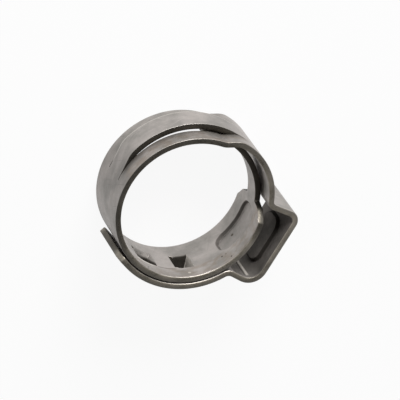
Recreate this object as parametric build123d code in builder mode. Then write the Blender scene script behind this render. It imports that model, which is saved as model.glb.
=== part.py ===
from build123d import *
from math import atan2, cos, degrees, radians, sin, sqrt, tan
import os

# Stepless ear clamp for a small hose: one stainless strip, blanked, lanced, pressed and rolled up.
# Millimetres. The hose axis is +Z, the clamp lies on its strip edge at z = 0, the ear points to +X.
# Angles run counter-clockwise about +Z from the middle of the ear. From its inner end the strip
# runs clockwise: tongue, inner layer, lanced channel, outer band, ear, outer layer.

# ---------------------------------------------------------------- strip and hose seat
strip_w = 7.0             # strip width, along the hose
strip_t = 0.6             # strip thickness
seat_r = 7.3              # inside radius, which the hose feels
layer_gap = 0.15          # play between the inner layer and the layer around it

# ---------------------------------------------------------------- inner end and tongue
tongue_w = 2.4            # the tongue bridges the step under the ear and slides in the channel
tongue_tip_deg = 112.0
tongue_tip_r = 0.5        # round of its corners
tongue_sag = 0.05         # the free tongue springs in by this much at its tip
shoulder_deg = 24.5       # the full width ends here, each side of the tongue
shoulder_slope = 0.3      # a shoulder runs back this far towards its outer corner
shoulder_chamfer = 1.1

# ---------------------------------------------------------------- lanced channel
channel_w = 3.0
lance_gap = 0.06          # sheared slit on each side of the raised strip
channel_foot_deg = -177.5
channel_root_deg = 6.0    # the raised strip grows out of the band over this angle
channel_crest_deg = -194.5
channel_crest_rise = 0.55
channel_mid_deg = -225.0
channel_mid_rise = 0.70
channel_bend_r = 2.5

# ---------------------------------------------------------------- joggle and outer band
joggle_foot_deg = 95.5    # the rails step from the inner level to the outer one between these
joggle_top_deg = 84.5
joggle_r = 1.6
crown_deg = 59.5
crown_rise = 0.17         # the outer band stands this much proud of its level

# ---------------------------------------------------------------- ear
ear_top_x = 10.95         # outside face of the ear's top, from the hose axis
ear_half_upper = 4.12     # neutral line of each leg, from the ear's middle
ear_half_lower = 4.24
ear_waist = 0.22          # the legs lean in by this much at their feet
ear_foot_drop = 0.15      # the upper leg starts this much nearer the hose
ear_corner_upper_r = 0.9
ear_corner_lower_r = 1.6
ear_foot_upper_r = 0.75
ear_foot_lower_r = 1.0
dimple_l = 5.4
dimple_w = 3.9
dimple_h = 0.3
dimple_end_r = 1.5
dimple_y = -0.2
dimple_taper = 40.0
dimple_blend_r = 0.12

# ---------------------------------------------------------------- outer layer
outer_end_deg = -119.5
outer_end_flat = 1.4      # the last of the strip stays straight
outer_end_chamfer = 0.6
window_w = 3.8
window_r = 0.5
window_slack = 0.6        # free length in front of each hook

# ---------------------------------------------------------------- bead under the ear
bead_from_deg = -26.5
bead_to_deg = 18.5
bead_w = 3.0
bead_h = 0.35
bead_side = 0.3           # lean of its side walls

# ---------------------------------------------------------------- deep-drawn hooks
hook_rear_degs = (-50.0, -81.0)
hook_lengths = (2.05, 2.5)
hook_w = 3.0              # hollow at the inside face of the inner layer
hook_h = 0.95             # from the inner layer's back, through the window
hook_taper = 16.0         # lean of the drawn walls
hook_wall = 0.35          # drawn wall, thinner than the strip
hook_front_r = 0.9
hook_rear_r = 0.35
hook_lip = 0.4            # the lip stands this far behind the cut that it was sheared along

# ---------------------------------------------------------------- levels
clear = 0.4               # how far a cut passes beyond what it cuts
mid_z = strip_w / 2
inner_mid_r = seat_r + strip_t / 2
inner_back_r = seat_r + strip_t
outer_mid_r = inner_back_r + layer_gap + strip_t / 2
outer_back_r = outer_mid_r + strip_t / 2


def polar(radius, deg):
    """Point at a radius and an angle about the hose axis."""
    return (radius * cos(radians(deg)), radius * sin(radians(deg)))


def arc_deg(length, radius):
    """Angle that a length takes up on a radius."""
    return degrees(length / radius)


def arc_at(radius, start_deg, end_deg):
    """Arc about the hose axis, clockwise when end_deg is below start_deg."""
    return CenterArc((0, 0), radius, start_deg, end_deg - start_deg)


def skin_plane(radius, deg):
    """Plane touching a cylinder about the hose axis: x counter-clockwise, y up, z outwards."""
    return Plane(
        origin=(*polar(radius, deg), mid_z),
        x_dir=(*polar(1, deg + 90), 0),
        z_dir=(*polar(1, deg), 0),
    )


def section_plane(deg):
    """Plane through the hose axis: x outwards, y up from the middle of the strip's width."""
    return Plane(origin=(0, 0, mid_z), x_dir=(*polar(1, deg), 0), z_dir=(*polar(1, deg - 90), 0))


def ring_sector(near_r, far_r, start_deg, end_deg, width):
    """Block between two radii and two angles, centred on the strip's width."""
    with BuildPart() as block:
        with BuildSketch(Plane.XY.offset(mid_z - width / 2)):
            with BuildLine():
                near_arc = arc_at(near_r, start_deg, end_deg)
                far_arc = arc_at(far_r, end_deg, start_deg)
                Line(near_arc @ 1, far_arc @ 0)
                Line(far_arc @ 1, near_arc @ 0)
            make_face()
        extrude(amount=width)
    return block.part


def pressed_form(near_r, far_r, near_half, far_half, start_deg, end_deg):
    """Long pressed form with half-round ends, following the hose axis from near_r out to far_r.

    Its section is near_half wide each side at near_r and far_half at far_r.
    """
    beyond_r = far_r + clear
    beyond_half = far_half - (near_half - far_half) * clear / (far_r - near_r)
    with BuildPart() as form:
        with BuildSketch(section_plane(start_deg)):
            with BuildLine():
                Polyline(
                    (near_r, -near_half),
                    (near_r, near_half),
                    (beyond_r, beyond_half),
                    (beyond_r, -beyond_half),
                    close=True,
                )
            make_face()
        revolve(axis=Axis.Z, revolution_arc=end_deg - start_deg)
        for deg, outwards in ((start_deg, 1), (end_deg, -1)):
            with BuildSketch(section_plane(deg)):
                with BuildLine():
                    Polyline((near_r, 0), (near_r, near_half), (beyond_r, beyond_half), (beyond_r, 0), close=True)
                make_face()
            revolve(axis=Axis((0, 0, mid_z), (*polar(outwards, deg), 0)), revolution_arc=180)
        with Locations((0, 0, mid_z)):
            Cylinder(far_r, strip_w, mode=Mode.INTERSECT)
    return form.part


def pad(length, width, end_r, height, taper):
    """Raised pad on the inside of the ear's top, growing towards the hose."""
    with BuildPart() as raised:
        with BuildSketch(Plane(origin=(0, dimple_y, mid_z), x_dir=(0, 1, 0), z_dir=(-1, 0, 0))):
            RectangleRounded(length, width, end_r)
        extrude(amount=height, taper=taper)
        fillet(raised.faces().sort_by(Axis.X)[0].edges(), dimple_blend_r)
    return raised.part


def drawn_form(at_r, far_r, rear_deg, length, width):
    """Tapered form of a hook, its sizes taken at at_r, running clockwise from its rear wall."""
    growth = clear * tan(radians(hook_taper))
    with BuildPart() as form:
        with BuildSketch(skin_plane(at_r - clear, rear_deg - arc_deg(length / 2, at_r))) as outline:
            Rectangle(length + 2 * growth, width + 2 * growth)
            fillet(outline.vertices().group_by(Axis.X)[-1], hook_rear_r)
            fillet(outline.vertices().group_by(Axis.X)[0], hook_front_r)
        extrude(amount=far_r - at_r + 2 * clear, taper=hook_taper)
        with Locations((0, 0, mid_z)):
            Cylinder(far_r, strip_w, mode=Mode.INTERSECT)
    return form.part


# ---------------------------------------------------------------- neutral line of the strip
inner_stop = polar(inner_mid_r, joggle_foot_deg)
joggle_top = polar(outer_mid_r, joggle_top_deg)
crown = polar(outer_mid_r + crown_rise, crown_deg)
ear_mid_x = ear_top_x - strip_t / 2
foot_upper_y = ear_half_upper - ear_waist
foot_lower_y = ear_waist / 2 - ear_half_lower
foot_upper = (sqrt(outer_mid_r**2 - foot_upper_y**2) - ear_foot_drop, foot_upper_y)
foot_lower = (sqrt(outer_mid_r**2 - foot_lower_y**2), foot_lower_y)
corner_upper = (ear_mid_x, ear_half_upper)
corner_lower = (ear_mid_x, -ear_half_lower)
foot_lower_deg = degrees(atan2(foot_lower_y, foot_lower[0]))
flat_deg = outer_end_deg + arc_deg(outer_end_flat, outer_mid_r)

with BuildLine() as band_line:
    arc_at(inner_mid_r, shoulder_deg, joggle_foot_deg - 360)
    Line(inner_stop, joggle_top)
    ThreePointArc(joggle_top, crown, foot_upper)
    Polyline(foot_upper, corner_upper, corner_lower, foot_lower)
    wrap_arc = arc_at(outer_mid_r, foot_lower_deg, flat_deg)
    Line(wrap_arc @ 1, wrap_arc @ 1 + wrap_arc % 1 * outer_end_flat)
    for bend, bend_r in (
        (inner_stop, joggle_r),
        (joggle_top, joggle_r),
        (foot_upper, ear_foot_upper_r),
        (corner_upper, ear_corner_upper_r),
        (corner_lower, ear_corner_lower_r),
        (foot_lower, ear_foot_lower_r),
    ):
        fillet(band_line.vertices().sort_by_distance(bend)[0], bend_r)

# The strip between the two lance cuts climbs from the inner level and joins the outer band.
channel_foot = polar(inner_mid_r, channel_foot_deg)
channel_crest = polar(inner_mid_r + channel_crest_rise, channel_crest_deg)
channel_mid = polar(inner_mid_r + channel_mid_rise, channel_mid_deg)
with BuildLine() as channel_line:
    arc_at(inner_mid_r, channel_foot_deg + channel_root_deg, channel_foot_deg)
    Line(channel_foot, channel_crest)
    ThreePointArc(channel_crest, channel_mid, joggle_top)
    for bend in (channel_foot, channel_crest):
        fillet(channel_line.vertices().sort_by_distance(bend)[0], channel_bend_r)

# The tongue leaves the inner layer tangentially and springs a little inwards.
tongue_end = polar(inner_mid_r - tongue_sag, tongue_tip_deg)
with BuildLine() as tongue_line:
    TangentArc(polar(inner_mid_r, shoulder_deg), tongue_end, tangent=polar(1, shoulder_deg + 90))

# ---------------------------------------------------------------- the clamp
with BuildPart() as clamp_band:
    with BuildSketch():
        trace(band_line.line, strip_t)
    extrude(amount=strip_w)

    # Channel: two rails stay down on the hose, the strip between them is raised over the tongue.
    add(
        ring_sector(
            seat_r - clear, outer_back_r + clear, joggle_top_deg - 360, channel_foot_deg, channel_w + 2 * lance_gap
        ),
        mode=Mode.SUBTRACT,
    )
    with BuildSketch(Plane.XY.offset(mid_z - channel_w / 2)):
        trace(channel_line.line, strip_t)
    extrude(amount=channel_w)

    # Inner end: two chamfered shoulders, one each side of the tongue.
    with BuildSketch(skin_plane(seat_r - clear, shoulder_deg)):
        with BuildLine():
            Polyline(
                (0, tongue_w / 2),
                (-shoulder_slope, strip_w / 2 - shoulder_chamfer),
                (-shoulder_slope - shoulder_chamfer, strip_w / 2),
                (-shoulder_slope - shoulder_chamfer, strip_w / 2 + clear),
                (clear / 2, strip_w / 2 + clear),
                (clear / 2, tongue_w / 2),
                close=True,
            )
        make_face()
        mirror(about=Plane.XZ)
    extrude(amount=clear + strip_t + layer_gap / 2, mode=Mode.SUBTRACT)
    with BuildSketch(Plane.XY.offset(mid_z - tongue_w / 2)):
        trace(tongue_line.line, strip_t)
    extrude(amount=tongue_w)
    tongue_tip = clamp_band.faces().sort_by_distance((*tongue_end, mid_z))[0]
    fillet(tongue_tip.edges().filter_by(Axis.Z, reverse=True), tongue_tip_r)

    # Outer layer: windows for the hooks, and its end with clipped corners.
    for rear_deg, length in zip(hook_rear_degs, hook_lengths):
        front_deg = rear_deg - arc_deg(length, seat_r) - arc_deg(window_slack, outer_mid_r)
        free_deg = rear_deg + arc_deg(hook_wall / 2 + layer_gap, outer_mid_r)
        window = ring_sector(inner_back_r + layer_gap / 2, outer_back_r + clear, front_deg, free_deg, window_w)
        sides = window.edges().filter_by(GeomType.LINE) - window.edges().filter_by(Axis.Z)
        add(window.fillet(window_r, sides), mode=Mode.SUBTRACT)
    end_tangent = wrap_arc % 1
    end_plane = Plane(
        origin=band_line.line @ 1 + Vector(0, 0, mid_z),
        x_dir=end_tangent,
        z_dir=end_tangent.rotate(Axis.Z, 90),
    )
    with BuildSketch(end_plane):
        with BuildLine():
            Polyline(
                (clear, strip_w / 2 - outer_end_chamfer - clear),
                (-outer_end_chamfer - clear, strip_w / 2 + clear),
                (clear, strip_w / 2 + clear),
                close=True,
            )
        make_face()
        mirror(about=Plane.XZ)
    extrude(amount=strip_t / 2 + layer_gap, both=True, mode=Mode.SUBTRACT)

    # Bead: stiffens the inner layer where it bridges the ear, pressed outwards.
    bead_half = bead_w / 2
    bead_start = bead_from_deg + arc_deg(bead_half, seat_r)
    bead_stop = bead_to_deg - arc_deg(bead_half, seat_r)
    bead_top = bead_half - bead_side
    ridge = pressed_form(inner_back_r - clear, inner_back_r + bead_h, bead_half, bead_top, bead_start, bead_stop)
    groove = pressed_form(seat_r - bead_h, seat_r + bead_h, bead_half + bead_side, bead_top, bead_start, bead_stop)
    add(ridge)
    add(groove, mode=Mode.SUBTRACT)

    # Hooks: drawn out through the windows, closed towards the ear and sheared open away from it,
    # so that each lip holds the front of its window when the ear pulls on the outer layer.
    dome_top = inner_back_r + hook_h
    for rear_deg, length in zip(hook_rear_degs, hook_lengths):
        front_deg = rear_deg - arc_deg(length, seat_r)
        outer_rear_deg = rear_deg + arc_deg(hook_wall / 2, inner_back_r)
        lip_deg = front_deg + arc_deg(hook_lip, inner_back_r)
        lump_w = hook_w + hook_wall
        add(drawn_form(inner_back_r, dome_top, outer_rear_deg, length + hook_wall, lump_w))
        add(
            ring_sector(inner_back_r, dome_top + clear, front_deg - arc_deg(hook_wall, seat_r), lip_deg, lump_w),
            mode=Mode.SUBTRACT,
        )
        add(drawn_form(seat_r, dome_top - hook_wall, rear_deg, length, hook_w), mode=Mode.SUBTRACT)

    # Ear: a dimple pressed in from outside makes its top springy.
    face_x = ear_top_x - strip_t
    raised = pad(dimple_l, dimple_w, dimple_end_r, dimple_h, dimple_taper)
    add(raised.moved(Location((face_x, 0, 0))))
    add(raised.moved(Location((ear_top_x, 0, 0))), mode=Mode.SUBTRACT)

clamp_band.part.label = "clamp_band"
os.makedirs("parts", exist_ok=True)
export_step(clamp_band.part, "parts/clamp_band.step")
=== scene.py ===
from math import ceil, radians

import bpy
import numpy as np
from mathutils import Euler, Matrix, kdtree


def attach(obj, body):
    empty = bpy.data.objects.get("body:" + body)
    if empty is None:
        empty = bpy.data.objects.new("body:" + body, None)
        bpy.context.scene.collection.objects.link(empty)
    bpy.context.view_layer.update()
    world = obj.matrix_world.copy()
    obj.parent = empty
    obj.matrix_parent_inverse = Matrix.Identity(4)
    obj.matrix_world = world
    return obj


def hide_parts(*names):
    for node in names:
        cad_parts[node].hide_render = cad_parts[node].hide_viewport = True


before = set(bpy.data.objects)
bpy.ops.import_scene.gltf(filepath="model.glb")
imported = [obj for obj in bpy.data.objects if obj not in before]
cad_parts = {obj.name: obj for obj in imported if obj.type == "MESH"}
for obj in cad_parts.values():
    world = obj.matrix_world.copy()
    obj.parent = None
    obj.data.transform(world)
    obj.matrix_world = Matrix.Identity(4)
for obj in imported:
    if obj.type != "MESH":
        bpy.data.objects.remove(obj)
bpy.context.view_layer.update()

# ------------------------------------------------------------------------------------------------
# The strip's line. A stepless ear clamp is one stainless strip rolled up twice round a small hose:
# tongue, inner layer, outer band, a squared ear, and an outer layer hooked over the inner one.
# All bends are made in one plane, so the whole strip follows one line. Sizes here are millimetres.
strip_w = 7.0
strip_t = 0.6
inner_r = 7.6            # middle of the strip's thickness, where it lies on the hose
outer_r = 8.35           # the same for the layer around it
tongue_tip_deg = 108.0
tongue_sag = 0.05
shoulder_deg = 24.5      # angles run from the middle of the ear; the strip winds towards lower ones
joggle_deg = (-264.5, -275.5)
joggle_bend = 1.6
crown = (8.517, -300.5)  # radius and angle of the middle of the arc from the joggle to the ear
foot_upper = (7.233, 3.9)
corner_upper = (10.649, 4.12)
corner_lower = (10.649, -4.24)
foot_lower = (7.257, -4.13)
ear_bends = (0.75, 0.9, 1.6, 1.0)    # upper foot, upper corner, lower corner, lower foot
outer_end_deg = -479.5
outer_end_flat = 1.4
point_step = 0.02
even_step = 0.05
bend_reach = 150         # points before a corner among which its bend starts


def place(radius, deg):
    return np.array([radius * np.cos(np.radians(deg)), radius * np.sin(np.radians(deg))])


def bow(radius_from, radius_to, start_deg, end_deg):
    """Part of a turn about the hose, its radius easing from one value to the other."""
    count = ceil(abs(radians(end_deg - start_deg)) * radius_to / point_step)
    share = np.linspace(0, 1, count + 1)
    radius = radius_from + (radius_to - radius_from) * share**2
    deg = start_deg + (end_deg - start_deg) * share
    return np.column_stack((radius * np.cos(np.radians(deg)), radius * np.sin(np.radians(deg))))


def straight(start, end):
    start, end = np.array(start), np.array(end)
    count = ceil(np.linalg.norm(end - start) / point_step)
    return start + (end - start) * np.linspace(0, 1, count + 1)[:, None]


def arch(start, middle, end):
    """Arc through three points."""
    start, middle, end = (np.array(point, float) for point in (start, middle, end))
    sides = 2 * np.array([middle - start, end - start])
    centre = np.linalg.solve(sides, [middle @ middle - start @ start, end @ end - start @ start])
    turns = np.unwrap([np.arctan2(*(point - centre)[::-1]) for point in (start, middle, end)])
    radius = np.linalg.norm(start - centre)
    count = ceil(radius * abs(turns[2] - turns[0]) / point_step)
    turn = np.linspace(turns[0], turns[2], count + 1)
    return centre + radius * np.column_stack((np.cos(turn), np.sin(turn)))


def bend(before, after, radius):
    """Joins two runs of the line with a bend of this radius."""
    kept, before = before[:-bend_reach], before[-bend_reach:]
    heading = [np.gradient(run, axis=0) for run in (before, after)]
    heading = [run / np.linalg.norm(run, axis=1, keepdims=True) for run in heading]
    (ax, ay), (bx, by) = heading[0][-1], heading[1][0]
    side = np.sign(ax * by - ay * bx)
    centres = [
        run + radius * side * np.column_stack((-way[:, 1], way[:, 0]))
        for run, way in zip((before, after), heading)
    ]
    gap = np.linalg.norm(centres[0][:, None] - centres[1][None], axis=2)
    last, first = np.unravel_index(gap.argmin(), gap.shape)
    centre = (centres[0][last] + centres[1][first]) / 2
    ends = (before[last], after[first])
    turns = np.unwrap([np.arctan2(*(point - centre)[::-1]) for point in ends])
    turn = np.linspace(*turns, ceil(radius * abs(turns[1] - turns[0]) / point_step) + 2)[1:-1]
    curve = centre + radius * np.column_stack((np.cos(turn), np.sin(turn)))
    return np.concatenate((kept, before[:last], curve, after[first + 1:]))


def in_order(*runs):
    """Puts runs end to end, each bend radius standing between the two runs it joins."""
    line = runs[0]
    for radius, run in zip(runs[1::2], runs[2::2]):
        line = bend(line, run, radius) if radius else np.concatenate((line, run[1:]))
    return line


def along(line):
    return np.concatenate(([0], np.cumsum(np.linalg.norm(np.diff(line, axis=0), axis=1))))


def evenly(line):
    """The same line with even points, its small corners eased."""
    length = along(line)
    stops = np.linspace(0, length[-1], ceil(length[-1] / even_step) + 1)
    line = np.column_stack([np.interp(stops, length, line[:, axis]) for axis in (0, 1)])
    eased = line.copy()
    eased[1:-1] = (line[:-2] + line[1:-1] + line[2:]) / 3
    return eased


def length_at(line, deg):
    """Length along a line where it passes an angle about the hose."""
    passed = np.degrees(np.unwrap(np.arctan2(line[:, 1], line[:, 0])))
    passed += 360 * round((tongue_tip_deg - passed[0]) / 360)
    return float(np.interp(-deg, -passed, along(line)))


tongue_run = bow(inner_r, inner_r - tongue_sag, shoulder_deg, tongue_tip_deg)[::-1]
inner_turn = np.concatenate((tongue_run, bow(inner_r, inner_r, shoulder_deg, joggle_deg[0])[1:]))
joggle_top = place(outer_r, joggle_deg[1])
over_band = arch(joggle_top, place(*crown), foot_upper)
foot_lower_deg = float(np.degrees(np.arctan2(foot_lower[1], foot_lower[0]))) - 360
flat_deg = outer_end_deg + np.degrees(outer_end_flat / outer_r)
wrap = bow(outer_r, outer_r, foot_lower_deg, flat_deg)
wrap_way = (wrap[-1] - wrap[-2]) / np.linalg.norm(wrap[-1] - wrap[-2])
ear_and_wrap = (
    ear_bends[0], straight(foot_upper, corner_upper),
    ear_bends[1], straight(corner_upper, corner_lower),
    ear_bends[2], straight(corner_lower, foot_lower),
    ear_bends[3], wrap,
    0, straight(wrap[-1], wrap[-1] + wrap_way * outer_end_flat),
)
rail_line = evenly(in_order(
    inner_turn,
    joggle_bend, straight(inner_turn[-1], joggle_top),
    joggle_bend, over_band, *ear_and_wrap))

# Between two lance cuts the middle of the strip is raised over the tongue and rejoins the band.
channel_foot_deg = -177.5
channel_crest = (8.12, -194.5)
channel_middle = (8.26, -225.0)
channel_bends = (2.5, 2.5, 3.0)
to_channel_foot = bow(inner_r, inner_r, shoulder_deg, channel_foot_deg)
turn_to_foot = np.concatenate((tongue_run, to_channel_foot[1:]))
raised_line = evenly(in_order(
    turn_to_foot,
    channel_bends[0], straight(turn_to_foot[-1], place(*channel_crest)),
    channel_bends[1], arch(place(*channel_crest), place(*channel_middle), joggle_top),
    channel_bends[2], over_band, *ear_and_wrap))

# ------------------------------------------------------------------------------------------------
# The blank. Before it is rolled, the clamp is a flat strip with its tongue, clipped corners, hook
# windows and lance cuts punched out, and its bead, hooks and dimple pressed in by dies.
# Its length lies along X from the tongue's tip, its width along Z, and its thickness along Y.
mid = strip_w / 2
hair = 0.001                   # slack in comparing places on the strip
tongue_half = 1.2
tongue_tip_round = 0.5
shoulder_slope = 0.3
shoulder_clip = 1.1
shoulder_fade = 3              # stretch of the grid that follows the clipped shoulder, and the end
end_clip = 0.6
end_fade = 2
channel_half = 1.5
lance_gap = 0.06
lance_deg = (-174.0, -278.0)
window_half = 1.9
window_round = 0.5
window_degs = ((-407.8, -430.2), (-438.8, -464.7))
hook_degs = (-50.0, -81.0)
hook_lengths = (2.05, 2.5)
hook_half = 1.5
hook_round = (0.15, 1.25)      # corners of a hook's outline, where it rises and at its sheared end
hook_lip = (0.35, 1.2)         # how far the sheared lip stands back, and half the cut's width
hook_rise = (1.25, 0.95)       # depth of the hollow on the hose side, and height on the back
hook_wall = 0.175              # how far the flanks stand out from the outline, and how far they lean
hook_lean = 0.34
hook_corner = 0.9
hook_ramp = 0.69               # run of the hollow's ramp for each millimetre of depth
hook_scoop = 1.9               # width of its scooped floor, and run of its steep side
hook_steep = 0.12
shade_from = (0, 0.2)           # share of the depth where painted shade starts in each hollow, and its fade
shade_fade = (0.12, 0.2)
ramp_shade_side = (9, 4.1)      # where across the strip each ramp's painted shade starts (9 is off it), and how far that shifts for each millimetre of depth
ramp_shade_shift = (0, 3.9)     # how far that shifts for each millimetre of depth
ramp_shade_fade = 0.6
ramp_highlight = (0.9, 0)         # how bright the painted highlight is on each ramp, and on the rim beside each hollow, which runs as far across the strip as the rim's side
rim_highlight = (0.1, 0.7)        # runs as far across the strip as the rim's side
rim_side = 5.35
bead_degs = (18.5, -26.5)
bead_half = 1.5
bead_round = 1.2
bead_side = 0.2
bead_rise = 0.3
dimple_deg = -361.1
dimple_half = (2.7, 1.95)
dimple_round = 1.5
dimple_side = 0.22
dimple_depth = 0.3
dimple_crown = 0.08
crease_run = 70.75             # tool line in the ear's corner
crease_half = 0.16
crease_sides = (3.1, 6.4)
crease_depth = 0.06


def run_at(deg):
    return length_at(rail_line, deg)


def spread(stops, steps):
    """Positions through the stops, none further apart than the step given for each gap."""
    parts = [
        np.linspace(start, end, ceil((end - start) / step - hair), endpoint=False)
        for start, end, step in zip(stops, stops[1:], steps)
    ]
    return np.concatenate(parts + [[stops[-1]]])


def ease(share):
    share = np.clip(share, 0, 1)
    return share * share * (3 - 2 * share)


strip_end = float(along(rail_line)[-1])
shoulder_run = run_at(shoulder_deg)
hook_runs = [run_at(deg) for deg in hook_degs]
lance_runs = [run_at(deg) for deg in lance_deg]
window_runs = [[run_at(deg) for deg in pair] for pair in window_degs]
dimple_run = run_at(dimple_deg)
front_runs = [rear + length for rear, length in zip(hook_runs, hook_lengths)]
bead_ends = [run_at(deg) for deg in bead_degs]

# The grid of the blank: each stop along it has the step of the rows from there to the next stop.
run_stops = [
    (0, 0.08), (tongue_tip_round, 0.3), (shoulder_run, 0.12),
    (bead_ends[0] - 0.3, 0.07), (bead_ends[0] + 1.4, 0.2),
    (bead_ends[1] - 1.4, 0.07), (bead_ends[1] + 0.3, 0.2),
]
for rear, front in zip(hook_runs, front_runs):
    run_stops += [
        (rear - 0.2, 0.05), (rear + 0.5, 0.09),
        (front - hook_lip[0], 0.09), (front, 0.1), (front + 0.3, 0.2),
    ]
run_stops += [
    (lance_runs[0], 0.12), (lance_runs[1], 0.14),
    (dimple_run - 3, 0.08), (dimple_run + 3, 0.1),
    (window_runs[0][0], 0.16), (window_runs[0][1], 0.2),
    (window_runs[1][0], 0.16), (window_runs[1][1], 0.16),
]
runs = spread([stop for stop, step in run_stops] + [strip_end], [step for stop, step in run_stops])
side_stops = [
    0, 0.14, mid - window_half,
    mid - channel_half - lance_gap, mid - channel_half, mid - tongue_half,
]
side_steps = [0.14, 0.2, 0.085, lance_gap, 0.075]
tongue_step = 0.1
sides = np.concatenate((
    spread(side_stops, side_steps)[:-1],
    spread([mid - tongue_half, mid + tongue_half], [tongue_step])[:-1],
    spread([strip_w - stop for stop in reversed(side_stops)], side_steps[::-1]),
))
run, side = np.meshgrid(runs, sides, indexing="ij")
off = np.abs(side - mid)

# Which cells of the grid are metal.
cell_run = (run[:-1, :-1] + run[1:, 1:]) / 2
cell_off = np.abs((side[:-1, :-1] + side[1:, 1:]) / 2 - mid)
metal = (cell_run > shoulder_run) | (cell_off < tongue_half)
for start, end in window_runs:
    metal &= ~((cell_run > start) & (cell_run < end) & (cell_off < window_half))
for front in front_runs:
    metal &= ~((cell_run > front - hook_lip[0]) & (cell_run < front) & (cell_off < hook_lip[1]))
between_cuts = (cell_run > lance_runs[0]) & (cell_run < lance_runs[1])
metal &= ~(between_cuts & (cell_off > channel_half) & (cell_off < channel_half + lance_gap))

# The middle of the strip between the lance cuts follows the raised line.
raised = (run >= lance_runs[0]) & (run <= lance_runs[1]) & (off < channel_half + lance_gap / 2)
raised_runs = [length_at(raised_line, deg) for deg in lance_deg]
line_run = np.where(raised, np.interp(run, lance_runs, raised_runs), run)

# Heights of the two faces over the line, which the dies change, and what is painted on them: painted
# shade, painted highlights and brown stain, each first for the hose side and then for the back.
inside = np.full(run.shape, -strip_t / 2)
outside = np.full(run.shape, strip_t / 2)
painted_shade, painted_highlight, stain = np.zeros((3, 2, *run.shape))


def from_outline(start, end, half, round_start, round_end):
    """Distance from a die's round-cornered outline, less than zero within it."""
    middle = (start + end) / 2
    corner = np.where(run < middle, round_start, round_end)
    past_end, past_side = np.abs(run - middle) - (end - start) / 2 + corner, off - half + corner
    past_corner = np.hypot(np.maximum(past_end, 0), np.maximum(past_side, 0))
    return past_corner + np.minimum(np.maximum(past_end, past_side), 0) - corner


from_bead = from_outline(*bead_ends, bead_half, bead_round, bead_round)
inside += bead_rise * (1 - ease((from_bead + bead_side) / bead_side))
outside += bead_rise * (1 - ease((from_bead + bead_side / 2) / (2 * bead_side)))


def between(value, low, high, soft):
    """One between two limits, easing to nothing outside them."""
    return ease((value - low) / soft + 0.5) * ease((high - value) / soft + 0.5)


for hook, (rear, front) in enumerate(zip(hook_runs, front_runs)):
    # The hollow is a ramp up from its rear end, a floor scooped across the strip, and a steep side
    # that turns in towards the sheared lip. The shallowest of the three holds at each place.
    past = np.clip(run - front + hook_corner, 0, hook_corner)
    narrower = hook_corner - np.sqrt(hook_corner**2 - past**2)
    ramp = np.maximum(run - rear, 0) / hook_ramp
    scoop = hook_rise[0] * ease((side - mid + hook_half - narrower) / hook_scoop)
    steep = np.maximum(mid + hook_half - narrower - side, 0) / hook_steep
    depth = np.minimum(np.minimum(ramp, scoop), steep) * (run < front - hair)
    inside += depth

    # Painted shade in the hollow and on its ramp, and painted highlights on the ramp and the rim
    # beside it.
    share = depth / hook_rise[0]
    on_ramp = ease((scoop - ramp) / 0.1 + 0.5) * (run > rear) * (run < front) * (off < hook_half)
    past_shade = side + ramp_shade_shift[hook] * depth - ramp_shade_side[hook]
    painted_shade[0] += (1 - on_ramp) * ease((share - shade_from[hook]) / shade_fade[hook])
    painted_shade[0] += on_ramp * ease(past_shade / ramp_shade_fade)
    painted_highlight[0] += ramp_highlight[hook] * on_ramp
    on_rim = between(run, rear + 0.5, front + 0.3, 0.8)
    on_rim = on_rim * between(side, mid + hook_half + 0.02, rim_side, 0.12)
    painted_highlight[0] += rim_highlight[hook] * on_rim

    # The back stands up between leaning flanks and is cut off square at the lip.
    from_hook = from_outline(rear, front + hook_lip[0], hook_half, *hook_round)
    from_hook[run > front - hair] = strip_w
    outside += hook_rise[1] * (1 - ease((from_hook - hook_wall + hook_lean) / hook_lean))

# The dimple is pressed the other way, in from the back, its floor a little shallower in the middle.
dimple_ends = (dimple_run - dimple_half[0], dimple_run + dimple_half[0])
from_dimple = from_outline(*dimple_ends, dimple_half[1], dimple_round, dimple_round)
dimple = dimple_depth * (1 - ease((from_dimple + dimple_side) / dimple_side))
dimple -= dimple_crown * ease(-(from_dimple + dimple_side) / dimple_round)
inside -= dimple
outside -= dimple
beside_crease = between(side, *crease_sides, 0.3)
on_crease = between(run, crease_run - crease_half, crease_run + crease_half, 0.12) * beside_crease
inside -= crease_depth * on_crease

# Marks on the hose side: painted shade in the ear, in the rims of the dimple and the bead, beside the
# crease and in a line between the hooks; a painted highlight along the crease; and brown stain along
# the upper edge.
ear_before, ear_after = 5.8, 4.6
rim_fade = 0.08
shade_line_sides = (5.05, 5.15)
stain_runs = (13.5, 34)
painted_shade[0] += 0.6 * between(run, dimple_run - ear_before, dimple_run + ear_after, 2.4)
painted_shade[0] += 0.7 * between(from_dimple, -dimple_side, 0.03, rim_fade)
lower_half = ease((mid + 1.2 - side) / 0.6)
painted_shade[0] += 0.6 * between(from_bead, -bead_side, 0.02, rim_fade) * lower_half
painted_shade[0] += 0.5 * between(run, crease_run + 0.2, crease_run + 0.45, 0.15) * beside_crease
between_hooks = between(run, front_runs[0], hook_runs[1], 0.3)
painted_shade[0] += 0.8 * between_hooks * between(side, *shade_line_sides, 0.08)
painted_highlight[0] += on_crease
stain[0] = between(side, 5.0, 6.9, 0.6) * between(run, *stain_runs, 3)
stain[0] += between(side, 5.2, 6.9, 0.6) * (run < 20)

# Marks on the back, all beside the lance cuts: the raised strip's painted shadow and brown stain on
# the rail beyond the upper cut, and a painted highlight along the lower one.
cut_shadow_width = 1.1
cut_lip = 0.12
in_cuts = between(run, lance_runs[0] + 1, lance_runs[1] + 0.5, 1.2)
past_cut = side - mid - channel_half - lance_gap
painted_shade[1] += 0.65 * in_cuts * (past_cut > -0.01) * (1 - ease(past_cut / cut_shadow_width))
painted_highlight[1] += 0.8 * in_cuts * between(side, mid - channel_half, mid - channel_half + cut_lip, 0.06)
stain[1] = in_cuts * (past_cut > -0.01)

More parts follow.
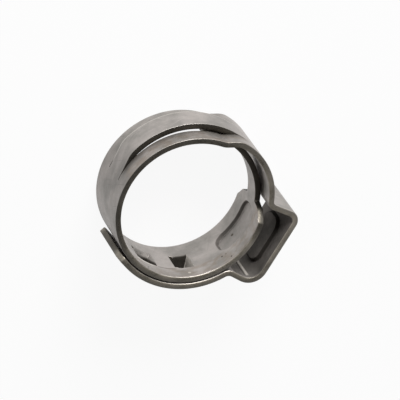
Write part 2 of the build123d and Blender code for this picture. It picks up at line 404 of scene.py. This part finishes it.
# The outline: rounded tongue tip, sloped and clipped shoulders, clipped end, rounded windows.
tip_half = tongue_half - tongue_tip_round + np.sqrt(
    tongue_tip_round**2 - (tongue_tip_round - np.minimum(run, tongue_tip_round))**2)
side = np.where(run < tongue_tip_round, mid + (side - mid) * tip_half / tongue_half, side)
set_back = np.interp(
    off, [tongue_half, mid - shoulder_clip, mid],
    [0, shoulder_slope, shoulder_slope + shoulder_clip])
fade = np.clip(1 - (run - shoulder_run) / shoulder_fade, 0, 1) * (run >= shoulder_run - hair)
shift = set_back * fade
fade = np.clip(1 - (strip_end - run) / end_fade, 0, 1)
shift = shift - np.maximum(off - (mid - end_clip), 0) * fade
for start, end in window_runs:
    for corner, inward in ((start, 1), (end, -1)):
        for sign in (-1, 1):
            edge = mid + sign * window_half
            on_side = (np.abs(side - edge) < 1e-6) & ((run - corner) * inward >= -1e-6)
            on_end = (np.abs(run - corner) < 1e-6) & (off <= window_half + 1e-6)
            on_end &= (side - mid) * sign > 0
            from_corner = np.where(on_end, window_half - off, (run - corner) * inward)
            near = (on_side | on_end) & (from_corner < window_round)
            arc = np.radians(45 + np.where(on_side, 45, -45) * from_corner / window_round)
            arc_run = corner + inward * window_round * (1 - np.cos(arc))
            arc_side = edge + sign * window_round * (np.sin(arc) - 1)
            shift = np.where(near, arc_run - run, shift)
            side = np.where(near, arc_side, side)

# The closed blank: two faces of quads, and a sheared wall wherever the metal ends. The long edges
# are rounded more on the hose side, where the shear went in, than on the burr side.
burr_share = 0.45
grid = np.arange(run.size).reshape(run.shape)
corners = np.stack((grid[:-1, :-1], grid[1:, :-1], grid[1:, 1:], grid[:-1, 1:]), axis=-1)[metal]
used = np.unique(corners)
number = np.full(run.size, -1)
number[used] = np.arange(len(used))
face_in = number[corners]
face_out = face_in[:, ::-1] + len(used)
way = np.concatenate([face_in[:, [k, (k + 1) % 4]] for k in range(4)])
ways = {(a, b) for a, b in way.tolist()}
rim = np.array([(a, b) for a, b in ways if (b, a) not in ways])
wall = np.column_stack((rim[:, 1], rim[:, 0], rim[:, 0] + len(used), rim[:, 1] + len(used)))

flat = [(run + shift).ravel()[used], side.ravel()[used]]
points = np.concatenate([
    np.column_stack((flat[0], height.ravel()[used], flat[1])) for height in (inside, outside)
])
blank = bpy.data.meshes.new("clamp_blank")
blank.from_pydata(points.tolist(), [], face_in.tolist() + face_out.tolist() + wall.tolist())
for name, amount in (("painted_shade", painted_shade), ("painted_highlight", painted_highlight), ("stain", stain)):
    amount = np.clip(amount.reshape(2, -1)[:, used].ravel(), 0, 1)
    blank.attributes.new(name, "FLOAT", "POINT").data.foreach_set("value", amount)
line_runs = (line_run + shift).ravel()[used]
blank.attributes.new("line_run", "FLOAT", "POINT").data.foreach_set("value", np.tile(line_runs, 2))
blank.attributes.new("raised", "INT", "POINT").data.foreach_set(
    "value", np.tile(raised.ravel()[used], 2).astype(np.int32))
sheared = np.arange(len(blank.polygons)) >= 2 * len(face_in)
blank.attributes.new("sheared", "BOOLEAN", "FACE").data.foreach_set("value", sheared)
on_long_edge = off.ravel()[used] > mid - hair
rims = {}
for a, b in rim.tolist():
    rims[min(a, b), max(a, b)] = 1.0 if on_long_edge[a] and on_long_edge[b] else burr_share
    rims[min(a, b) + len(used), max(a, b) + len(used)] = burr_share
weights = [rims.get(tuple(sorted(edge.vertices)), 0.0) for edge in blank.edges]
blank.attributes.new("bevel_weight_edge", "FLOAT", "EDGE").data.foreach_set("value", weights)
rim_points = np.unique(rim)
rim_tree = kdtree.KDTree(2 * len(rim_points))
for index in rim_points.tolist() + (rim_points + len(used)).tolist():
    rim_tree.insert(points[index], index)
rim_tree.balance()
from_edge = [rim_tree.find(point)[2] for point in points.tolist()]
blank.attributes.new("from_edge", "FLOAT", "POINT").data.foreach_set("value", from_edge)

# ------------------------------------------------------------------------------------------------
# Rolled stainless face. Cold rolled strip, dull grey and slightly warm, with fine grain along its
# length, cloudy handling marks, short scratches both ways and a few dark pits, under painted shade
# and painted highlights.


def add(tree, kind, *links, **values):
    """Adds a node, setting its fields and inputs by name, and links the outputs given for inputs."""
    made = tree.nodes.new(kind)
    for name, value in values.items():
        setattr(made, name, value)
    for name, value in links:
        if isinstance(value, bpy.types.NodeSocket):
            tree.links.new(value, made.inputs[name])
        else:
            made.inputs[name].default_value = value
    return made


def new_finish(name):
    finish = bpy.data.materials.new(name)
    finish.use_nodes = True
    return finish, finish.node_tree, finish.node_tree.nodes["Principled BSDF"]


def band(tree, value, low, high, to_low, to_high):
    """Maps a value between two limits onto another pair."""
    made = add(
        tree, "ShaderNodeMapRange", ("Value", value), ("From Min", low), ("From Max", high),
        ("To Min", to_low), ("To Max", to_high))
    return made.outputs["Result"]


def blend(tree, share, first, second, how="MIX"):
    made = add(tree, "ShaderNodeMix", ("Factor", share), data_type="RGBA", blend_type=how)
    for socket, value in zip((made.inputs[6], made.inputs[7]), (first, second)):
        if isinstance(value, bpy.types.NodeSocket):
            tree.links.new(value, socket)
        else:
            socket.default_value = (*value, 1)
    return made.outputs[2]


def maths(tree, how, *values):
    """The result of a maths node on these values."""
    return add(tree, "ShaderNodeMath", *enumerate(values), operation=how).outputs[0]


def times(tree, first, second):
    return maths(tree, "MULTIPLY", first, second)


def vectors(tree, how, *values, **named):
    """The result of a vector maths node on these values."""
    made = add(tree, "ShaderNodeVectorMath", *enumerate(values), *named.items(), operation=how)
    return made.outputs["Value" if how in ("DISTANCE", "DOT_PRODUCT") else "Vector"]


def stored(tree, name, output="Fac"):
    """A value or a place stored on the strip's points."""
    return add(tree, "ShaderNodeAttribute", attribute_name=name).outputs[output]


face_light = (0.50, 0.46, 0.435)
face_dark = (0.30, 0.285, 0.265)
grain_dark = (0.25, 0.24, 0.22)
pit_dark = (0.07, 0.06, 0.05)
edge_highlight_colour = (0.5, 0.47, 0.44)
stain_brown = (0.27, 0.215, 0.165)
# Colour of the painted shade in hollows, rims, the ear and beside the cuts.
painted_shade_dark = (0.04, 0.035, 0.028)
painted_shade_rough = 0.5
painted_highlight_colour = (0.78, 0.74, 0.68)

# Painted shade along the strip, darker where that stretch lies in shade: a place, and how bright each
# face is there.
hose_side_shade = ((1, 0.75), (14, 0.85), (17, 1), (85, 1))
back_shade = (
    (1, 0.8), (33, 0.72), (38.6, 0.66), (40.2, 0.85), (41.8, 1), (48, 1), (50.5, 0.86),
    (54, 1), (85, 1),
)

# Scratches: how far each set is turned from the strip's length, its stretch, scale and tone.
scratch_sets = (
    (8, (0.25, 1, 14), 1.1, (0.62, 0.58, 0.55)),
    (-34, (0.3, 1, 16), 0.9, (0.60, 0.57, 0.54)),
    (63, (0.3, 1, 15), 0.8, (0.2, 0.19, 0.18)),
)

# Single specks: place on the blank, radius and colour.
hose, back = -strip_t / 2, strip_t / 2
pit_brown = (0.07, 0.055, 0.04)
specks = (
    ((43.29, back, 1.05), 0.16, pit_brown), ((15.85, hose + bead_rise, 3.15), 0.2, pit_brown),
    ((17.95, hose, 5.5), 0.14, pit_brown), ((17.1, hose, 6.5), 0.13, pit_brown),
    ((26.73, hose, 6.4), 0.13, pit_brown), ((25.3, hose, 4.9), 0.12, pit_brown),
    ((21.86, hose, 6.1), 0.2, (0.62, 0.58, 0.51)),
)
skin, nodes, steel = new_finish("rolled_stainless")
blank_place = stored(nodes, "blank_place", "Vector")


def noise_on(tree, place, stretch, turn_deg, scale, detail, offset=(0, 0, 0)):
    """Noise laid on the strip, in cycles per millimetre, stretched and turned in its plane."""
    turned = add(
        tree, "ShaderNodeMapping", ("Vector", place), ("Location", offset),
        ("Rotation", (0, radians(turn_deg), 0)))
    stretched = add(tree, "ShaderNodeMapping", ("Vector", turned.outputs[0]), ("Scale", stretch))
    noise = add(
        tree, "ShaderNodeTexNoise", ("Vector", stretched.outputs[0]), ("Scale", scale),
        ("Detail", detail), ("Roughness", 0.6))
    return noise.outputs["Fac"]


def shade_along(tree, hose_stops, back_stops):
    """Painted shade: tones set at places along the strip, one list for each face of it."""
    place_parts = add(
        tree, "ShaderNodeSeparateXYZ", ("Vector", stored(tree, "blank_place", "Vector"))).outputs
    ramps = []
    for stops in (hose_stops, back_stops):
        ramp = add(tree, "ShaderNodeValToRGB", (0, times(tree, place_parts["X"], 1 / strip_end)))
        for place, tone in stops:
            stop = ramp.color_ramp.elements.new(place / strip_end)
            stop.color = (tone, tone, tone, 1)
        for edge in (0, -1):
            ramp.color_ramp.elements.remove(ramp.color_ramp.elements[edge])
        ramps.append(ramp.outputs["Color"])
    return blend(tree, band(tree, place_parts["Y"], -0.05, 0.05, 0, 1), *ramps)


clouds = noise_on(nodes, blank_place, (1, 1, 1), 0, 0.35, 5)
mottle = noise_on(nodes, blank_place, (1, 1, 1), 30, 1.6, 4, (9, 2, 4))
grain = noise_on(nodes, blank_place, (0.35, 1, 9), 0, 1.4, 3)
colour = blend(nodes, band(nodes, clouds, 0.38, 0.62, 0, 1), face_dark, face_light)
colour = blend(nodes, band(nodes, mottle, 0.35, 0.7, 0, 0.35), colour, face_light)
colour = blend(nodes, band(nodes, grain, 0.3, 0.7, 0.3, 0), colour, grain_dark)
for turn_deg, stretch, scale, tone in scratch_sets:
    lines = noise_on(nodes, blank_place, stretch, turn_deg, scale, 1.5, (turn_deg, 0, 3))
    mark = band(nodes, lines, 0.68, 0.74, 0, 1)
    colour = blend(nodes, times(nodes, mark, 0.5), colour, tone)
pits = add(
    nodes, "ShaderNodeTexVoronoi", ("Vector", blank_place), ("Scale", 0.4), ("Randomness", 1.0))
pit = band(nodes, pits.outputs["Distance"], 0.03, 0.055, 1, 0)
colour = blend(nodes, times(nodes, pit, 0.7), colour, pit_dark)
# Painted highlight: the faces lighten within a third of a millimetre of the sheared edges, where the
# rounded edges catch the light.
edge_highlight = band(nodes, stored(nodes, "from_edge"), 0.02, 0.35, 0.25, 0)
colour = blend(nodes, edge_highlight, colour, edge_highlight_colour)
# Painted shade: each face is darkened stretch by stretch along the strip where it lies in shade.
colour = blend(nodes, 1.0, colour, shade_along(nodes, hose_side_shade, back_shade), "MULTIPLY")
blots = noise_on(nodes, blank_place, (0.8, 1, 1.6), 10, 1.1, 5, (4, 1, 7))
stained = times(nodes, stored(nodes, "stain"), band(nodes, blots, 0.42, 0.62, 0, 0.5))
colour = blend(nodes, stained, colour, stain_brown)
# Painted shade: the stored shade attribute darkens the metal in hollows, rims, the ear and beside the
# cuts.
painted_shade_in = stored(nodes, "painted_shade")
colour = blend(nodes, times(nodes, painted_shade_in, 0.92), colour, painted_shade_dark)
# Painted highlight: the stored highlight attribute lightens the hook ramps and rims, the ear's crease
# and the lower cut's lip.
colour = blend(nodes, times(nodes, stored(nodes, "painted_highlight"), 0.85), colour, painted_highlight_colour)
for place, size, tone in specks:
    gap = vectors(nodes, "DISTANCE", blank_place, place)
    colour = blend(nodes, band(nodes, gap, size * 0.6, size, 0.9, 0), colour, tone)
nodes.links.new(colour, steel.inputs["Base Color"])
steel.inputs["Metallic"].default_value = 1.0
rough = band(nodes, mottle, 0.3, 0.7, 0.42, 0.56)
rough = maths(nodes, "MULTIPLY_ADD", painted_shade_in, painted_shade_rough, rough)
nodes.links.new(rough, steel.inputs["Roughness"])
bump_distance = 0.00004
height = maths(nodes, "ADD", times(nodes, grain, 0.5), mottle)
bump = add(
    nodes, "ShaderNodeBump", ("Height", height), ("Strength", 0.25), ("Distance", bump_distance))
nodes.links.new(bump.outputs[0], steel.inputs["Normal"])

# ------------------------------------------------------------------------------------------------
# Sheared edge. Where the strip was slit and punched its wall is darker and rougher than the faces,
# with a smoother burnished band next to the side the punch came from.
edge_dark = (0.19, 0.172, 0.14)
edge_light = (0.54, 0.49, 0.41)
burnished = (0.32, 0.3, 0.27)
inner_cut_shade_colour = (0.02, 0.018, 0.014)
# Painted shade along the sheared walls: a place, and how bright the wall is there, darker where it
# faces away from the light.
edge_shade = (
    (1, 0.9), (11, 0.35), (13.2, 0.45), (14.5, 1), (20, 1), (24, 0.8), (30, 0.6), (35, 0.36),
    (47, 0.36), (51, 0.6), (55, 0.85), (60, 0.85), (65, 1), (71, 0.72), (78, 0.72), (85, 0.7),
)
shear, nodes, steel = new_finish("sheared_edge")
blank_place = stored(nodes, "blank_place", "Vector")
parts = add(nodes, "ShaderNodeSeparateXYZ", ("Vector", blank_place)).outputs
tears = noise_on(nodes, blank_place, (1, 1, 1), 0, 7, 4)
patches = noise_on(nodes, blank_place, (1, 1, 1), 0, 0.3, 4, (3, 0, 8))
colour = blend(nodes, band(nodes, patches, 0.4, 0.62, 0, 1), edge_dark, edge_light)
colour = blend(nodes, band(nodes, tears, 0.35, 0.7, 0, 0.6), colour, edge_light)
colour = blend(nodes, band(nodes, parts["Y"], -0.02, 0.12, 0, 0.5), colour, burnished)
# Painted shade: the sheared walls are darkened stretch by stretch along the strip.
colour = blend(nodes, 1.0, colour, shade_along(nodes, edge_shade, edge_shade), "MULTIPLY")
# Painted shade: sheared walls near the middle of the strip, in the cuts, windows and hook lips and
# along the tongue, are darkened almost to black.
from_middle = maths(nodes, "ABSOLUTE", maths(nodes, "SUBTRACT", parts["Z"], mid))
inner_cut_shade = band(nodes, from_middle, window_half, mid - end_clip, 0.6, 0)
colour = blend(nodes, inner_cut_shade, colour, inner_cut_shade_colour)
nodes.links.new(colour, steel.inputs["Base Color"])
steel.inputs["Metallic"].default_value = 0.9
nodes.links.new(band(nodes, tears, 0.3, 0.7, 0.4, 0.62), steel.inputs["Roughness"])
bump = add(
    nodes, "ShaderNodeBump", ("Height", tears), ("Strength", 0.4), ("Distance", bump_distance))
nodes.links.new(bump.outputs[0], steel.inputs["Normal"])

# ------------------------------------------------------------------------------------------------
# Rolling. The pressed blank is rolled along the strip's line, and the piece between the lance cuts
# along the raised one. Its sheared corners are left slightly round.
edge_round = 0.12
millimetre = 0.001
strip_lines = bpy.data.curves.new("strip_lines", "CURVE")
strip_lines.dimensions = "3D"
for line in (rail_line, raised_line):
    spline = strip_lines.splines.new("POLY")
    spline.points.add(len(line) - 1)
    line_points = np.column_stack((line, np.zeros(len(line)), np.ones(len(line))))
    spline.points.foreach_set("co", line_points.ravel())
line_object = bpy.data.objects.new("strip_lines", strip_lines)
bpy.context.collection.objects.link(line_object)

rolling = bpy.data.node_groups.new("roll_the_strip", "GeometryNodeTree")
for name, kind in (("Blank", "Geometry"), ("Lines", "Object"), ("Scale", "Float"),
                   ("Face finish", "Material"), ("Edge finish", "Material")):
    rolling.interface.new_socket(name=name, in_out="INPUT", socket_type="NodeSocket" + kind)
rolling.interface.new_socket(name="Clamp", in_out="OUTPUT", socket_type="NodeSocketGeometry")
given = rolling.nodes.new("NodeGroupInput").outputs
flat_place = add(rolling, "GeometryNodeInputPosition").outputs[0]
line_run_in, raised_in, sheared_in = (
    add(rolling, "GeometryNodeInputNamedAttribute", ("Name", name), data_type=kind).outputs[0]
    for name, kind in (("line_run", "FLOAT"), ("raised", "INT"), ("sheared", "BOOLEAN"))
)
marked = add(
    rolling, "GeometryNodeStoreNamedAttribute", ("Geometry", given["Blank"]),
    ("Name", "blank_place"), ("Value", flat_place), data_type="FLOAT_VECTOR", domain="POINT")
lines = add(rolling, "GeometryNodeObjectInfo", ("Object", given["Lines"]))
on_line = add(
    rolling, "GeometryNodeSampleCurve", ("Curves", lines.outputs["Geometry"]),
    ("Length", line_run_in), ("Curve Index", raised_in), mode="LENGTH").outputs
outwards = vectors(rolling, "CROSS_PRODUCT", (0, 0, 1), on_line["Tangent"])
outwards = vectors(rolling, "NORMALIZE", outwards)
parts = add(rolling, "ShaderNodeSeparateXYZ", ("Vector", flat_place)).outputs
raise_by = vectors(rolling, "SCALE", outwards, Scale=parts["Y"])
across = add(rolling, "ShaderNodeCombineXYZ", ("Z", parts["Z"])).outputs[0]
rolled = vectors(rolling, "ADD", on_line["Position"], raise_by)
rolled = vectors(rolling, "ADD", rolled, across)
rolled = vectors(rolling, "SCALE", rolled, Scale=given["Scale"])
moved = add(
    rolling, "GeometryNodeSetPosition", ("Geometry", marked.outputs[0]), ("Position", rolled))
smooth = add(rolling, "GeometryNodeSetShadeSmooth", ("Geometry", moved.outputs[0]))
real = add(rolling, "GeometryNodeRealizeInstances", ("Geometry", smooth.outputs[0]))
faced = add(
    rolling, "GeometryNodeSetMaterial", ("Geometry", real.outputs[0]),
    ("Material", given["Face finish"]))
edged = add(
    rolling, "GeometryNodeSetMaterial", ("Geometry", faced.outputs[0]),
    ("Selection", sheared_in), ("Material", given["Edge finish"]))
rolling.links.new(edged.outputs[0], rolling.nodes.new("NodeGroupOutput").inputs[0])

blank_object = bpy.data.objects.new("clamp_blank", blank)
bpy.context.collection.objects.link(blank_object)
roller = blank_object.modifiers.new("roll", "NODES")
roller.node_group = rolling
settings = {
    "Lines": line_object, "Scale": millimetre, "Face finish": skin, "Edge finish": shear,
}
for socket in rolling.interface.items_tree:
    if socket.name in settings:
        roller[socket.identifier] = settings[socket.name]
rounding = blank_object.modifiers.new("round_edges", "BEVEL")
rounding.limit_method = "WEIGHT"
rounding.width = edge_round * millimetre
rounding.segments = 2
rounding.use_clamp_overlap = False
finished = blank_object.evaluated_get(bpy.context.evaluated_depsgraph_get())
rolled_mesh = bpy.data.meshes.new_from_object(finished)
for spare in (blank_object, line_object):
    bpy.data.objects.remove(spare)
rolled_mesh.name = "rolled_clamp"
rolled_clamp = bpy.data.objects.new("rolled_clamp", rolled_mesh)
bpy.context.collection.objects.link(rolled_clamp)
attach(rolled_clamp, "root")
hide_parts("clamp_band")

# ------------------------------------------------------------------------------------------------
# Studio: a plain pale floor that fades to white, one large soft light from beyond the channel side,
# pale walls all round under a dark ceiling, and a long lens looking down on the near rim.
floor_half = 1
floor_glow = 0.92
floor_corners = [(-1, -1, 0), (1, -1, 0), (1, 1, 0), (-1, 1, 0)]
floor_corners = [(x * floor_half, y * floor_half, z) for x, y, z in floor_corners]
floor_mesh = bpy.data.meshes.new("floor")
floor_mesh.from_pydata(floor_corners, [], [(0, 1, 2, 3)])
floor = bpy.data.objects.new("floor", floor_mesh)
bpy.context.collection.objects.link(floor)
floor_paint, nodes, paint = new_finish("floor_paint")
paint.inputs["Base Color"].default_value = (0.8, 0.8, 0.8, 1)
paint.inputs["Roughness"].default_value = 0.9
rays = add(nodes, "ShaderNodeLightPath").outputs
seen = maths(nodes, "MAXIMUM", rays["Is Camera Ray"], rays["Is Glossy Ray"])
seen = maths(nodes, "MAXIMUM", seen, rays["Is Transmission Ray"])
glow = add(nodes, "ShaderNodeEmission", ("Color", (1, 1, 1, 1)))
lit = add(
    nodes, "ShaderNodeMixShader", (0, times(nodes, seen, floor_glow)), (1, paint.outputs[0]),
    (2, glow.outputs[0]))
nodes.links.new(lit.outputs[0], nodes.nodes["Material Output"].inputs["Surface"])
floor_mesh.materials.append(floor_paint)

dark_side = (0.2, -0.1, 0.97)        # the unlit ceiling, leaning over the ear
wall_glow = 0.6
ceiling_glow = 0.13
world = bpy.data.worlds.new("studio")
bpy.context.scene.world = world
world.use_nodes = True
nodes = world.node_tree
rays = add(nodes, "ShaderNodeLightPath").outputs
seen = maths(nodes, "MAXIMUM", rays["Is Camera Ray"], rays["Is Transmission Ray"])
backdrop = nodes.nodes["Background"]
backdrop.inputs["Color"].default_value = (1, 1, 1, 1)
sky_place = add(nodes, "ShaderNodeTexCoord").outputs["Generated"]
towards_ceiling = vectors(nodes, "DOT_PRODUCT", sky_place, dark_side)
strength = band(nodes, towards_ceiling, 0.35, 0.85, wall_glow, ceiling_glow)
strength = add(nodes, "ShaderNodeMix", ("Factor", seen), ("A", strength), ("B", 1.0))
nodes.links.new(strength.outputs[0], backdrop.inputs["Strength"])


lamp = bpy.data.lights.new("key_light", "AREA")
lamp.energy = 2.0
lamp.size = 0.2
key_light = bpy.data.objects.new("key_light", lamp)
key_light.location = (-0.12, 0.33, 0.16)
key_light.rotation_euler = (-key_light.location).to_track_quat("-Z", "Y").to_euler()
bpy.context.collection.objects.link(key_light)

camera_turns_deg = (-26.7619, -17.2679, 33.0183)
lens = bpy.data.cameras.new("camera")
lens.sensor_width = 36
lens.lens = 353.67
lens.clip_start = 0.01
camera = bpy.data.objects.new("camera", lens)
camera.location = (-0.181701, 0.092021, 0.33844)
camera.rotation_euler = Euler([radians(deg) for deg in camera_turns_deg])
bpy.context.collection.objects.link(camera)
bpy.context.scene.camera = camera
bpy.context.scene.view_settings.view_transform = "Standard"
